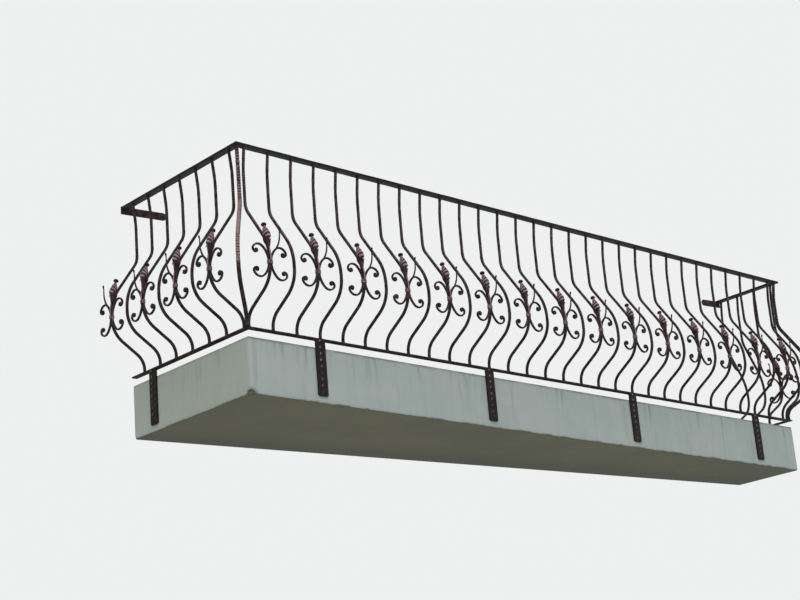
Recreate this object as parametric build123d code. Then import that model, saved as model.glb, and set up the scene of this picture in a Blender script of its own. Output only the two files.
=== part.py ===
from build123d import *
from math import atan2, ceil, cos, pi, radians, sin, tan
import os

# A belly-fronted wrought iron balcony railing on a concrete slab, in millimetres.
# The slab and the railing are set out in the rail frame: x runs along the front rail
# from the left corner, y runs inwards to the house, z = 0 is the top of the bottom rail.
# The finished pieces are handed over in the wall frame: the house wall is the plane
# y = 0, the balcony stands out towards -y, and the origin is the middle of the face
# where the slab meets the wall.

# Plan
FRONT_RUN = 4190.0            # front rail, corner to corner
LEFT_DEPTH = 953.0            # left corner to the wall, square to the wall
SKEW = 6.8                    # the wall is not parallel to the front rail, degrees

# Railing heights and offsets
RAILING_HEIGHT = 876.0        # bottom rail to the underside of the handrail
RAIL_OUTSIDE = 10.0           # handrail beyond the line of the bar tops
HANDRAIL = (40.0, 12.0)       # width, thickness
FOOT_SETBACK = 36.0           # the bar feet stand this far inside their tops
BOTTOM_RAIL = (30.0, 8.0)

# Bent bars
BAR = 12.0
POST = 18.0
TOP_LEAN = 14.0               # under the handrail the bars lean in by this much,
LEAN_HEIGHT = 110.0           # over this height
BELLY_REACH = 144.0           # how far the belly stands out in front of the bar top
BELLY_HEIGHT = 257.0
BELLY_SEAT = 18.0             # straight run at the belly, for the collar
POST_REACH = 158.0
POST_SETBACK = 34.0           # measured on the diagonal of the corner
UPPER_SLOPE = 35.0            # degrees off upright above the belly
LOWER_SLOPE = 57.0            # degrees off upright below the belly
NECK_RADIUS = 100.0
UPPER_RADIUS = 245.0
LOWER_RADIUS = 130.0
FOOT_RADIUS = 85.0

# Rows of bars: room from a corner to the first bar, and from the last bar to the next corner or the wall
FRONT_ENDS = (43.0, 94.0)
LEFT_ENDS = (62.0, 94.0)
RIGHT_ENDS = (48.0, 26.0)
BAR_PITCH = 138.0             # each row is spaced as near to this as whole spaces allow
FRONT_BAYS = 4                # stretches of the front row that share nodes
RIGHT_POST = 31.0             # the right corner post stands this far short of its corner

# Scroll ornament on every other bar
COLLAR = (34.0, 17.0, 14.0)   # width, depth, height
SCROLL_BAR = 10.0
SCROLL_RADII = (78.0, 35.0, 12.0)
SCROLL_TURNS = (50.0, 110.0, 171.0)
EYE = (19.0, 8.0)             # rolled eye at the end of a scroll: its width, and its width at the tip
SHOOT_BAR = 5.0
SHOOT_START = (36.0, 66.0)
SHOOT_HEADING = 48.0          # degrees from level
SHOOT_RADII = (120.0, 80.0)
SHOOT_TURNS = (45.0, -25.0)
FIT = 0.3                     # clearance between forged pieces that are not welded

# Leaf on its stem, above the belly, placed by distances along the straight of the stem
STEM = 6.0
STEM_SLOPE = 15.0             # the stem follows the belly bend up to here, degrees off upright
STEM_RUN = 118.0
LEAF_SIDE = ((24.0, 3.0), (38.0, 14.0), (64.0, 25.0), (104.0, 3.0))
LEAF_FRONT = ((18.0, 4.0), (58.0, 17.0), (110.0, 0.0))
KNOB = 20.0
KNOB_SIDES = 4
KNOB_TAPER = 28.0             # degrees

# Largest turn that one chord of a bend stands for, degrees
BAR_CHORD = 30.0
SCROLL_CHORD = 57.0

# Straps, wall tabs and slab
STRAP = (60.0, 8.0, 273.0)    # width, thickness, height
STRAP_CLIP = 7.0
FRONT_STRAPS = 4
STRAP_FIRST = 449.0
STRAP_PITCH = 1116.0
LEFT_STRAP = 178.0            # short of the wall
RIGHT_STRAP = 222.0           # short of the wall
TAB = (40.0, 6.0)             # height, thickness
TAB_LENGTHS = (255.0, 158.0)
TAB_RISE = 1.0                # the tabs stand this far above the handrail
TAB_HOLE = 10.0
TAB_HOLE_FROM_END = 22.0
SLAB_THICKNESS = 270.0
SLAB_DROP = 44.0              # slab top below the top of the bottom rail

# Worked out from the values above
SLOPE = radians(SKEW)
RAIL_EDGE = FOOT_SETBACK - BOTTOM_RAIL[0] / 2
SLAB_FACE = RAIL_EDGE + STRAP[1]


def wall_at(x):
    """Depth of the wall behind the front rail line, at a place along the rail."""
    return LEFT_DEPTH / cos(SLOPE) - x * tan(SLOPE)


MIDDLE_X = FRONT_RUN / 2
MIDDLE_Y = wall_at(MIDDLE_X)
LIFT = SLAB_DROP + SLAB_THICKNESS / 2


def to_wall(x, y):
    """A plan point of the rail frame in the wall frame."""
    east, north = x - MIDDLE_X, y - MIDDLE_Y
    return (east * cos(SLOPE) - north * sin(SLOPE), east * sin(SLOPE) + north * cos(SLOPE))


RAIL_FRAME = Location((*to_wall(0, 0), LIFT), (0, 0, SKEW))
FRONT = RAIL_FRAME
LEFT = RAIL_FRAME * Location((0, 0, 0), (0, 0, -90))
RIGHT = RAIL_FRAME * Location((FRONT_RUN, 0, 0), (0, 0, 90))
LEFT_CORNER = RAIL_FRAME * Location((0, 0, 0), (0, 0, -45))
RIGHT_CORNER = RAIL_FRAME * Location((FRONT_RUN - RIGHT_POST, 0, 0), (0, 0, 45))


# Bending tools
def path(start, heading, moves, chord):
    """Points along straight runs (length,) and bends (radius, turn), with the bends in chords."""
    x, y = start
    points = [start]
    for move in moves:
        lengths, step = move, 0.0
        if len(move) == 2:
            radius, turn = move
            count = ceil(abs(turn) / chord)
            step = turn / count
            lengths = [2 * radius * sin(radians(abs(step) / 2))] * count
        for length in lengths:
            heading += step / 2
            x += length * cos(radians(heading))
            y += length * sin(radians(heading))
            heading += step / 2
            points.append((x, y))
    return points


def strip(points, width, tip=()):
    """A strip along a line of points, with mitred corners; tip gives its last widths where they differ."""
    widths = [width] * (len(points) - len(tip)) + list(tip)
    headings = [atan2(b[1] - a[1], b[0] - a[0]) for a, b in zip(points, points[1:])]
    left, right = [], []
    corners = zip(points, widths, headings[:1] + headings, headings + headings[-1:])
    for (x, y), across, before, after in corners:
        bend = (after - before + 3 * pi) % (2 * pi) - pi
        middle = before + bend / 2
        reach = across / 2 / cos(bend / 2)
        left.append((x - reach * sin(middle), y + reach * cos(middle)))
        right.append((x + reach * sin(middle), y - reach * cos(middle)))
    return make_face(Polyline(*left, *reversed(right), close=True))


def upright(face, thickness):
    """A face drawn in x and z made solid, centred on y = 0."""
    return extrude(Plane.XZ * face, thickness / 2, both=True)


def in_section(face, thickness):
    """A face drawn in y and z made solid, centred on x = 0."""
    return extrude(Plane.YZ * face, thickness / 2, both=True)


# Bent bars
def belly_bar(reach, setback, width):
    """A square bar bent out to a belly, cut level at the handrail and at the bottom rail."""
    up, low = radians(UPPER_SLOPE), radians(LOWER_SLOPE)
    lean = atan2(TOP_LEAN, LEAN_HEIGHT)
    upper, lower = NECK_RADIUS + UPPER_RADIUS, LOWER_RADIUS + FOOT_RADIUS
    upper_run = (reach + TOP_LEAN - upper * (1 - cos(up))) / sin(up)
    lower_run = (reach + setback - lower * (1 - cos(low))) / sin(low)
    neck_height = BELLY_HEIGHT + BELLY_SEAT / 2 + upper * sin(up) + upper_run * cos(up)
    foot_run = BELLY_HEIGHT - BELLY_SEAT / 2 - lower * sin(low) - lower_run * cos(low)
    spare = width / cos(lean)
    moves = [
        (RAILING_HEIGHT - LEAN_HEIGHT - neck_height,), (NECK_RADIUS, -UPPER_SLOPE), (upper_run,),
        (UPPER_RADIUS, UPPER_SLOPE), (BELLY_SEAT,), (LOWER_RADIUS, LOWER_SLOPE), (lower_run,),
        (FOOT_RADIUS, -LOWER_SLOPE), (foot_run,),
    ]
    top = (-spare * sin(lean), RAILING_HEIGHT + spare * cos(lean))
    bar = strip([top, *path((TOP_LEAN, RAILING_HEIGHT - LEAN_HEIGHT), -90, moves, BAR_CHORD)], width)
    level = Pos(0, RAILING_HEIGHT / 2) * Rectangle(4 * reach, RAILING_HEIGHT)
    return in_section(bar & level, width)


# Ornament, drawn round the middle of a bar that stands at x = 0
def collar():
    width, depth, height = COLLAR
    ring = Rectangle(width, depth) - Rectangle(BAR + 2 * FIT, BAR + 2 * FIT)
    return extrude(ring, height / 2, both=True)


def scroll():
    """The upper right scroll, with its rolled eye."""
    root = ((BAR + SCROLL_BAR) / 2 + FIT, COLLAR[2] / 2)
    bends = [(radius, -turn) for radius, turn in zip(SCROLL_RADII, SCROLL_TURNS)]
    points = path(root, 90, [*bends, (EYE[0] / 2,)], SCROLL_CHORD)
    return upright(strip(points, SCROLL_BAR, EYE), SCROLL_BAR)


def shoot():
    """The thin shoot that leaves the back of the upper scroll and climbs beside the bar."""
    bends = zip(SHOOT_RADII, SHOOT_TURNS)
    return upright(strip(path(SHOOT_START, SHOOT_HEADING, bends, SCROLL_CHORD / 2), SHOOT_BAR), SHOOT_BAR)


def scroll_set(hand):
    """Four scrolls, the collar and the shoot in one piece; hand is the side of the shoot."""
    top_right = scroll()
    top = top_right + mirror(top_right, Plane.YZ)
    stray = shoot() if hand > 0 else mirror(shoot(), Plane.YZ)
    return Pos(0, -BELLY_REACH, BELLY_HEIGHT) * (collar() + top + mirror(top, Plane.XY) + stray)


def leaf():
    """A pointed leaf on a stem that leaves the belly, with a bud at the tip."""
    off_bar = BAR / 2 + FIT + STEM / 2
    start = (-BELLY_REACH - off_bar, BELLY_HEIGHT + BELLY_SEAT / 2)
    points = path(start, 90, [(UPPER_RADIUS + off_bar, -STEM_SLOPE), (STEM_RUN,)], BAR_CHORD)
    stem = in_section(strip(points, STEM), STEM)
    foot = Pos(0, *points[-2]) * Rot(-STEM_SLOPE, 0, 0)
    side = foot * in_section(Polygon(*[(-out, along) for along, out in LEAF_SIDE], align=None), 2 * KNOB)
    edge = [(across, along) for along, across in LEAF_FRONT]
    mirrored = [(-across, along) for across, along in reversed(edge[:-1])]
    front = foot * upright(Polygon(*edge, *mirrored, align=None), 4 * KNOB)
    half_bud = extrude(RegularPolygon(KNOB / 2, KNOB_SIDES), KNOB / 3, taper=KNOB_TAPER)
    bud = foot * Pos(0, 0, STEM_RUN) * (half_bud + mirror(half_bud, Plane.XY))
    return stem + (side & front) + bud


# Rows
def row(length, ends):
    """Places of evenly spaced bars between two end gaps."""
    room = length - sum(ends)
    spaces = round(room / BAR_PITCH)
    return [ends[0] + room / spaces * number for number in range(spaces + 1)]


def placed(panel, solid, places):
    """Copies of a solid along a panel."""
    return Compound([panel * Pos(x, 0, 0) * solid for x in places])


# Rails
def rail_plan(outer, inner, wall_gap):
    """Plan outlines of the front, left and right rails, mitred at the corners."""
    far_outer, far_inner = FRONT_RUN - outer, FRONT_RUN - inner
    gap = wall_gap / cos(SLOPE)

    def end(x):
        return (x, wall_at(x) - gap)

    front = [(outer, outer), (far_outer, outer), (far_inner, inner), (inner, inner)]
    left = [(outer, outer), (inner, inner), end(inner), end(outer)]
    right = [(far_inner, inner), (far_outer, outer), end(far_outer), end(far_inner)]
    return {"front": front, "left": left, "right": right}


def plate(plan, bottom, thickness):
    """A level plate from a plan outline in the rail frame."""
    outline = make_face(Polyline(*[to_wall(*point) for point in plan], close=True))
    return Pos(0, 0, bottom + LIFT) * extrude(outline, thickness)


def slab():
    left, right = SLAB_FACE, FRONT_RUN - SLAB_FACE
    front = SLAB_FACE
    plan = [(left, front), (right, front), (right, wall_at(right)), (left, wall_at(left))]
    return plate(plan, -SLAB_DROP - SLAB_THICKNESS, SLAB_THICKNESS)


def strap():
    """A flat strap under the bottom rail, with its lower corners clipped."""
    width, thickness, height = STRAP
    face = Polygon(
        (-width / 2, 0), (-width / 2, STRAP_CLIP - height), (STRAP_CLIP - width / 2, -height),
        (width / 2 - STRAP_CLIP, -height), (width / 2, STRAP_CLIP - height), (width / 2, 0), align=None)
    return Pos(0, RAIL_EDGE + thickness / 2, -BOTTOM_RAIL[1]) * upright(face, thickness)


def wall_tab(end_x, length, hand):
    """A flat tab along the wall, with a rounded end and a screw hole; hand points inwards."""
    height, thickness = TAB
    top = RAILING_HEIGHT + HANDRAIL[1] + TAB_RISE
    start = to_wall(end_x, wall_at(end_x))[0]
    far = start + hand * (length - height / 2)
    hole = start + hand * (length - TAB_HOLE_FROM_END)
    middle = top - height / 2 + LIFT
    body = Pos((start + far) / 2, middle) * Rectangle(abs(far - start), height)
    body += Pos(far, middle) * Circle(height / 2)
    body -= Pos(hole, middle) * Circle(TAB_HOLE / 2)
    return extrude(Plane.XZ * body, thickness)


# Every node of the part
def nodes():
    found = {"slab": slab()}
    handrails = rail_plan(-RAIL_OUTSIDE, HANDRAIL[0] - RAIL_OUTSIDE, TAB[1])
    bottoms = rail_plan(RAIL_EDGE, RAIL_EDGE + BOTTOM_RAIL[0], 0.0)
    for side in ("front", "left", "right"):
        found["handrail_" + side] = plate(handrails[side], RAILING_HEIGHT, HANDRAIL[1])
        found["bottom_rail_" + side] = plate(bottoms[side], -BOTTOM_RAIL[1], BOTTOM_RAIL[1])

    post = belly_bar(POST_REACH, POST_SETBACK, POST)
    found["corner_post_left"] = LEFT_CORNER * post
    found["corner_post_right"] = RIGHT_CORNER * post
    found["wall_tab_left"] = wall_tab(-RAIL_OUTSIDE, TAB_LENGTHS[0], 1)
    found["wall_tab_right"] = wall_tab(FRONT_RUN + RAIL_OUTSIDE, TAB_LENGTHS[1], -1)

    for number in range(FRONT_STRAPS):
        found[f"strap_{number + 1}"] = FRONT * Pos(STRAP_FIRST + STRAP_PITCH * number, 0, 0) * strap()
    found["strap_left"] = LEFT * Pos(LEFT_STRAP - wall_at(0), 0, 0) * strap()
    found["strap_right"] = RIGHT * Pos(wall_at(FRONT_RUN) - RIGHT_STRAP, 0, 0) * strap()

    front = row(FRONT_RUN, FRONT_ENDS)
    left = [-place for place in row(wall_at(0), LEFT_ENDS)]
    right = row(wall_at(FRONT_RUN), RIGHT_ENDS)
    groups = [
        ("left", LEFT, left[::2], left[1::2], -1),
        ("right", RIGHT, right[1:2], right[:1] + right[2:], 1),
    ]
    bay_bars = ceil(len(front) / FRONT_BAYS)
    for bay in range(FRONT_BAYS):
        numbers = range(len(front))[bay * bay_bars:(bay + 1) * bay_bars]
        ornate = [front[number] for number in numbers if number % 2 == 0]
        plain = [front[number] for number in numbers if number % 2]
        groups.append((str(bay + 1), FRONT, ornate, plain, 1))

    bar = belly_bar(BELLY_REACH, FOOT_SETBACK, BAR)
    for name, panel, ornate, plain, hand in groups:
        found["bars_plain_" + name] = placed(panel, bar, plain)
        found["bars_ornate_" + name] = placed(panel, bar, ornate)
        found["scrolls_" + name] = placed(panel, scroll_set(hand), ornate)
        found["leaves_" + name] = placed(panel, leaf(), ornate)
    return found


os.makedirs("parts", exist_ok=True)
for node, shape in nodes().items():
    export_step(shape, f"parts/{node}.step")
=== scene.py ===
from math import atan2, ceil, cos, hypot, pi, radians, sin, tan

import bmesh
import bpy
import numpy as np
from mathutils import Matrix, Vector, noise


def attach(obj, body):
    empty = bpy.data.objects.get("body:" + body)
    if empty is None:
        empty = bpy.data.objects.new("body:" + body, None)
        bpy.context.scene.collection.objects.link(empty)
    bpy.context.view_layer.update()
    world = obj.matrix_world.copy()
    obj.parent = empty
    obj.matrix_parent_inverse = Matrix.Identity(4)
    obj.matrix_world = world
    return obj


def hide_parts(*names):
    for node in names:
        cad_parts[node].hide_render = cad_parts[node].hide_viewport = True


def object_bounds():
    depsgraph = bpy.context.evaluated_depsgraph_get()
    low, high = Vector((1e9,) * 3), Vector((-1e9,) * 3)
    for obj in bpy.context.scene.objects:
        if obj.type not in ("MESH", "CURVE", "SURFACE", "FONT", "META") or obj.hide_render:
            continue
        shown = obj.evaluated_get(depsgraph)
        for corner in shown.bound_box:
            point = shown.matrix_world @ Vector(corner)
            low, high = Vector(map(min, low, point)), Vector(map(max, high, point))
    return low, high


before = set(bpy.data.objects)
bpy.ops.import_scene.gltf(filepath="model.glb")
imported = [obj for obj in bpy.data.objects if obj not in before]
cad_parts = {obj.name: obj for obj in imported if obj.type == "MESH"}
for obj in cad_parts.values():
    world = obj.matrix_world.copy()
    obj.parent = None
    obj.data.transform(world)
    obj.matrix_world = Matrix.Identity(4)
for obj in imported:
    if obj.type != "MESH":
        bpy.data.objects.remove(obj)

cad_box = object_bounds()

# Sizes in millimetres, as in the solids, in the rail frame: x along the front rail from the
# left corner, y inwards, z = 0 on top of the bottom rail. Pieces are placed in the wall frame.
MM = 0.001
FRONT_RUN, LEFT_DEPTH, SKEW = 4190.0, 953.0, 6.8
RAILING_HEIGHT, RAIL_OUTSIDE, FOOT_SETBACK = 876.0, 10.0, 36.0
HANDRAIL, BOTTOM_RAIL = (40.0, 12.0), (30.0, 8.0)
BAR, POST = 12.0, 18.0
TOP_LEAN, LEAN_HEIGHT, LEAN_BEND = 14.0, 110.0, 30.0
BELLY_REACH, BELLY_HEIGHT, BELLY_SEAT = 144.0, 257.0, 18.0
POST_REACH, POST_SETBACK, RIGHT_POST = 158.0, 34.0, 31.0
UPPER_SLOPE, LOWER_SLOPE = 35.0, 57.0
NECK_RADIUS, UPPER_RADIUS, LOWER_RADIUS, FOOT_RADIUS = 100.0, 245.0, 130.0, 85.0
FRONT_ENDS, LEFT_ENDS, RIGHT_ENDS = (43.0, 94.0), (62.0, 94.0), (48.0, 26.0)
BAR_PITCH, FRONT_BAYS = 138.0, 4
SCROLL_BAR, FIT = 10.0, 0.3
STEM, STEM_SLOPE, STEM_RUN, STEM_FOOT = 6.0, 15.0, 118.0, 4.0
STRAP = (60.0, 8.0, 273.0)
STRAP_CLIP, STRAP_FIRST, STRAP_PITCH, FRONT_STRAPS = 7.0, 449.0, 1116.0, 4
LEFT_STRAP, RIGHT_STRAP = 178.0, 222.0
TAB, TAB_LENGTHS, TAB_RISE, TAB_HOLE_FROM_END = (40.0, 6.0), (255.0, 158.0), 1.0, 22.0
SLAB_THICKNESS, SLAB_DROP = 270.0, 44.0

SLOPE = radians(SKEW)
RAIL_EDGE = FOOT_SETBACK - BOTTOM_RAIL[0] / 2
SLAB_FACE = RAIL_EDGE + STRAP[1]
LIFT = SLAB_DROP + SLAB_THICKNESS / 2

# The photograph's camera, fitted in the rail frame, in millimetres, degrees and pixels
CAMERA_PLACE = (-4544.5, -5846.1, -2322.1)
CAMERA_YAW, CAMERA_PITCH, CAMERA_ROLL = 43.278, 17.840, -4.804
FOCAL_PIXELS, PHOTO_WIDTH = 1717.0, 800.0
SENSOR_WIDTH = 36.0


# Placing
def wall_at(x):
    """Depth of the wall behind the front rail line, at a place along the rail."""
    return LEFT_DEPTH / cos(SLOPE) - x * tan(SLOPE)


def to_wall(x, y):
    """A plan point of the rail frame in the wall frame."""
    east, north = x - FRONT_RUN / 2, y - wall_at(FRONT_RUN / 2)
    return (east * cos(SLOPE) - north * sin(SLOPE), east * sin(SLOPE) + north * cos(SLOPE))


def moved(x=0.0, y=0.0, z=0.0, turn=0.0, tilt=0.0):
    """Placement: tilted about x, turned about z, then moved."""
    c, s, ct, st = cos(radians(turn)), sin(radians(turn)), cos(radians(tilt)), sin(radians(tilt))
    upright = np.array([[c, -s, 0, x], [s, c, 0, y], [0, 0, 1, z], [0, 0, 0, 1.0]])
    tilted = np.array([[1.0, 0, 0, 0], [0, ct, -st, 0], [0, st, ct, 0], [0, 0, 0, 1]])
    return upright @ tilted


FRONT = moved(*to_wall(0, 0), LIFT, SKEW)
LEFT = FRONT @ moved(turn=-90)
RIGHT = FRONT @ moved(FRONT_RUN, turn=90)
LEFT_CORNER = FRONT @ moved(turn=-45)
RIGHT_CORNER = FRONT @ moved(FRONT_RUN - RIGHT_POST, turn=45)
FLIPPED = np.diag([-1.0, 1.0, 1.0, 1.0])
UPSIDE_DOWN = np.diag([1.0, 1.0, -1.0, 1.0])


def row(length, ends):
    """Places of evenly spaced bars between two end gaps."""
    room = length - sum(ends)
    spaces = round(room / BAR_PITCH)
    return [ends[0] + room / spaces * number for number in range(spaces + 1)]


# Shells are pairs of vertices and faces, in millimetres
RING = 12                     # points round a bar's section at the usual number of corner steps
SOFTEST = 0.98                # a soft corner takes at most this share of the half width


def skin(rings, closed=False):
    """Joins rings of equal count, rings[i, j] a point; caps the ends unless the skin closes on itself."""
    count, around = rings.shape[:2]
    faces = []
    for i in range(count if closed else count - 1):
        this, after = i * around, (i + 1) % count * around
        for j in range(around):
            beside = (j + 1) % around
            faces.append((this + j, this + beside, after + beside, after + j))
    if not closed:
        faces.append(tuple(reversed(range(around))))
        faces.append(tuple(range((count - 1) * around, count * around)))
    return rings.reshape(-1, 3), faces


def line(start, heading, moves, chord=4.0, step=12.0):
    """Points along straight runs (length,) and bends (radius, turn)."""
    x, y = start
    points = [start]
    for move in moves:
        if len(move) == 2:
            radius, turn = move
            count = ceil(abs(turn) / chord)
            bend = turn / count
            length = 2 * radius * sin(radians(abs(bend) / 2))
        else:
            count = ceil(move[0] / step)
            bend, length = 0.0, move[0] / count
        for _ in range(count):
            heading += bend / 2
            x += length * cos(radians(heading))
            y += length * sin(radians(heading))
            heading += bend / 2
            points.append((x, y))
    return np.array(points)


def lengths_along(points):
    """Distance of each point from the start of the line."""
    return np.r_[0, np.cumsum(np.linalg.norm(np.diff(points, axis=0), axis=1))]


def sweep(points, across, deep, radius=1.6, drawn="section", steps=3):
    """Soft-cornered bar along a drawn line: across is its width in the drawing, deep its width out of it."""
    points = np.asarray(points, float)
    across = np.broadcast_to(across, len(points))[:, None] / 2
    deep = np.broadcast_to(deep, len(points))[:, None] / 2
    runs = np.diff(points, axis=0)
    headings = np.unwrap(np.arctan2(runs[:, 1], runs[:, 0]))
    before, after = np.r_[headings[:1], headings], np.r_[headings, headings[-1:]]
    middle, stretch = (before + after) / 2, 1 / np.cos((after - before) / 2)
    quarter = np.linspace(0, pi / 2, steps)
    angles = np.concatenate([quarter + k * pi / 2 for k in range(4)])
    soft = np.minimum(radius, SOFTEST * np.minimum(across, deep))
    side = np.repeat([1, -1, -1, 1], steps) * (across - soft) + soft * np.cos(angles)
    out = np.repeat([1, 1, -1, -1], steps) * (deep - soft) + soft * np.sin(angles)
    u = points[:, :1] - np.sin(middle)[:, None] * side * stretch[:, None]
    v = points[:, 1:] + np.cos(middle)[:, None] * side * stretch[:, None]
    orders = {"section": (out, u, v), "front": (u, out, v), "plan": (u, v, out)}
    return skin(np.stack(orders[drawn], axis=-1))


def lathe(profile, around=16):
    """Turned form from (radius, height) pairs."""
    angles = np.linspace(0, 2 * pi, around, endpoint=False)
    return skin(np.array([[(r * cos(a), r * sin(a), z) for a in angles] for r, z in profile]))


HAMMER_SEED = 3               # the hammering starts from a set seed, so it is the same in each run
noise.seed_set(HAMMER_SEED)


class Piece:
    """Gathers shells into one object that stands for CAD nodes."""

    def __init__(self, name, replaced, slot, paint):
        self.name, self.replaced, self.slot, self.paint = name, replaced, slot, paint
        self.vertices, self.faces, self.copper_and_highlight = [], [], []
        self.count = 0

    def add(self, shell, place, rub_and_highlight=0.0):
        """Adds a shell at a place, with how much copper shows at its vertices: worn through by rubbing on
        the ornament, a painted highlight on the bars, posts and straps.
        """
        vertices, faces = shell
        self.vertices.append(vertices @ place[:3, :3].T + place[:3, 3])
        self.faces += [tuple(self.count + index for index in face) for face in faces]
        self.copper_and_highlight.append(np.broadcast_to(rub_and_highlight, len(vertices)))
        self.count += len(vertices)

    def make_mesh(self, vertices):
        """The mesh with its faces turned outwards and the copper of each vertex, from rubbing and from
        painted highlight, stored.
        """
        mesh = bpy.data.meshes.new(self.name)
        mesh.from_pydata((vertices * MM).tolist(), [], self.faces)
        solid = bmesh.new()
        solid.from_mesh(mesh)
        bmesh.ops.recalc_face_normals(solid, faces=solid.faces)
        solid.to_mesh(mesh)
        solid.free()
        rub_and_highlight = mesh.attributes.new("rub_and_highlight", "FLOAT", "POINT")
        rub_and_highlight.data.foreach_set("value", np.concatenate(self.copper_and_highlight).astype(np.float32))
        return mesh

    def finish(self, hammer=0.0, grain=14.0, crease=40.0):
        """Makes the object; hammer is how far forging moves the surface, grain the size of its marks."""
        vertices = np.concatenate(self.vertices)
        if hammer:
            vertices = vertices + hammer * np.array([noise.noise_vector(p / grain) for p in vertices])
            vertices = np.clip(vertices, *np.array(cad_box) / MM)
        mesh = self.make_mesh(vertices)
        mesh.shade_smooth()
        mesh.set_sharp_from_angle(angle=radians(crease))
        mesh.materials.append(self.paint)
        piece = bpy.data.objects.new(self.name, mesh)
        bpy.context.scene.collection.objects.link(piece)
        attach(piece, "root")
        if self.replaced:
            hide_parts(*self.replaced)


# Materials
class Nodes:
    """Short way to write a material's nodes."""

    def __init__(self, name):
        self.material = bpy.data.materials.new(name)
        self.material.use_nodes = True
        self.tree = self.material.node_tree
        self.shader = self.tree.nodes["Principled BSDF"]

    def add(self, kind, output, inputs, **settings):
        node = self.tree.nodes.new("ShaderNode" + kind)
        for key, value in settings.items():
            setattr(node, key, value)
        for key, value in inputs.items():
            self.feed(node.inputs[key], value)
        return node.outputs[output]

    def feed(self, socket, value):
        if isinstance(value, bpy.types.NodeSocket):
            self.tree.links.new(value, socket)
        else:
            socket.default_value = value

    def place(self, scale=(1.0, 1.0, 1.0)):
        """Object coordinates in metres, stretched."""
        coordinates = self.add("TexCoord", "Object", {})
        return self.add("Mapping", "Vector", {"Vector": coordinates, "Scale": scale})

    def at(self, axis):
        """Place along one axis in metres."""
        return self.add("SeparateXYZ", axis, {"Vector": self.place()})

    def noise(self, size, stretch=(1.0, 1.0, 1.0), detail=4.0):
        """Noise with marks of a size in millimetres."""
        scale = 1 / (size * MM)
        return self.add("TexNoise", "Fac", {"Vector": self.place(stretch), "Scale": scale, "Detail": detail})

    def between(self, value, low, high, start=0.0, end=1.0):
        """Runs from start to end as value goes from low to high, smoothly."""
        inputs = {"Value": value, "From Min": low, "From Max": high, "To Min": start, "To Max": end}
        return self.add("MapRange", "Result", inputs, interpolation_type="SMOOTHSTEP")

    def near(self, point, reach, stretch=(1.0, 1.0, 1.0), core=0.15):
        """Zero at a reach in millimetres from a point, rising to one at a share of that reach, the core."""
        there = [part * scale * MM for part, scale in zip(point, stretch)]
        away = self.add("VectorMath", "Value", {0: self.place(stretch), 1: there}, operation="DISTANCE")
        return self.between(away, reach * MM, core * reach * MM)

    def math(self, operation, first, second):
        return self.add("Math", 0, {0: first, 1: second}, operation=operation)

    def mix(self, amount, first, second):
        return self.add("Mix", 2, {0: amount, 6: first, 7: second}, data_type="RGBA")

    def normal(self, axis):
        geometry = self.add("NewGeometry", "Normal", {})
        return self.add("SeparateXYZ", axis, {"Vector": geometry})

    def bump(self, height, distance, strength, under=None):
        inputs = {"Height": height, "Distance": distance * MM, "Strength": strength}
        if under is not None:
            inputs["Normal"] = under
        return self.add("Bump", "Normal", inputs)


def colour(red, green, blue):
    return (red, green, blue, 1.0)


def shaded(tone, share):
    """A colour brought down to a share of its light."""
    return colour(*[part * share for part in tone[:3]])


# The colours of the iron, and the heights in metres over which the handrail's underside begins
BLACK, BROWN = colour(0.010, 0.007, 0.007), colour(0.042, 0.026, 0.025)
COPPER, PINK_COPPER = colour(0.33, 0.19, 0.19), colour(0.38, 0.24, 0.265)
BARE_GREY, DUST = colour(0.040, 0.041, 0.037), colour(0.20, 0.18, 0.165)
DULL_COPPER, STREAKS, IRON_SHEEN = 0.62, 1.1, 0.12
UNDER_RAIL = (1.045, 1.052)


def bare_underside(n, painted, blotch):
    """Grey on the underside of the handrail, where no brush came."""
    under = n.math("MULTIPLY", n.between(n.at("Z"), *UNDER_RAIL), n.between(n.normal("Z"), -0.6, -0.95))
    patchy = n.between(blotch, 0.2, 0.5, 0.7, 1.0)
    return n.mix(n.math("MULTIPLY", under, patchy), painted, BARE_GREY)


def iron_paint(name, copper):
    """Dark paint with copper where the mesh's values call for it, worn through by rubbing on the ornament
    and a painted highlight on the bars, posts and straps, with dust on top.
    """
    n = Nodes(name)
    blotch, grain, streak = n.noise(26.0), n.noise(3.5, detail=6.0), n.noise(9.0, (1.0, 1.0, 0.35))
    rub_and_highlight = n.add("Attribute", "Fac", {}, attribute_name="rub_and_highlight")
    browned = n.math("MULTIPLY", n.between(blotch, 0.35, 0.65), n.between(rub_and_highlight, -0.5, 0.0))
    ground = n.mix(browned, BLACK, BROWN)
    uneven = n.math("MULTIPLY", n.math("SUBTRACT", streak, 0.5), STREAKS)
    broken = n.between(n.math("ADD", rub_and_highlight, uneven), 0.35, 0.85)
    worn = n.math("MULTIPLY", broken, n.between(grain, 0.30, 0.55, 0.55, 1.0))
    metal = n.mix(n.between(grain, 0.35, 0.65), copper, shaded(copper, DULL_COPPER))
    painted = bare_underside(n, n.mix(worn, ground, metal), blotch)
    upward = n.between(n.normal("Z"), 0.55, 1.0)
    dusty = n.math("MULTIPLY", upward, n.between(blotch, 0.30, 0.62, 0.10, 0.42))
    n.feed(n.shader.inputs["Base Color"], n.mix(dusty, painted, DUST))
    n.feed(n.shader.inputs["Roughness"], n.between(grain, 0.3, 0.7, 0.50, 0.72))
    n.feed(n.shader.inputs["Specular IOR Level"], IRON_SHEEN)
    hammered = n.bump(n.noise(11.0), 0.6, 0.5)
    n.feed(n.shader.inputs["Normal"], n.bump(grain, 0.25, 0.5, hammered))
    return n.material
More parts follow.
